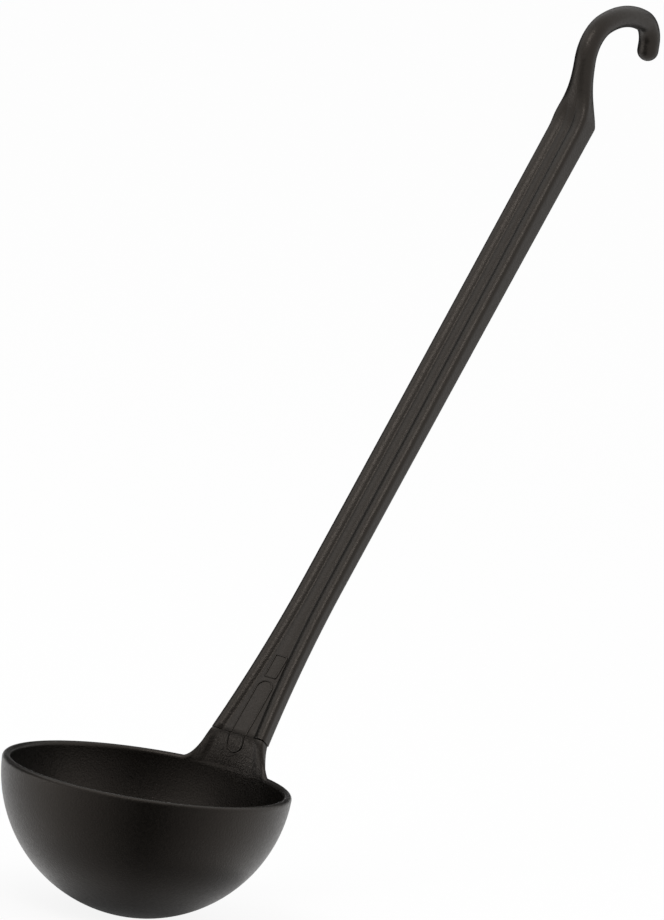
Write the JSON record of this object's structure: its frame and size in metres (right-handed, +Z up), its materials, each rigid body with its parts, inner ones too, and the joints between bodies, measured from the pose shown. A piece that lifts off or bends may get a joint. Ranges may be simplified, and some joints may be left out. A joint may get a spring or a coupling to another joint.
{
  "type": "kitchen ladle",
  "caption": "Dark moulded ladle with a hemispherical bowl, a flared neck and a ribbed slanting handle that ends in an upright hook for hanging.",
  "frame": {"origin": "the seat under the crown of the hook, where a rail carries the ladle", "axes": "+Z up along the bowl's axis, +Y outward from the bowl to the handle, +X across the handle"},
  "size_m": [0.1, 0.2869, 0.3194],
  "materials": {
    "composite": "satin warm black"
  },
  "bodies": {
    "root": {"bowl": "composite", "handle": "composite"}
  },
  "joints": []
}
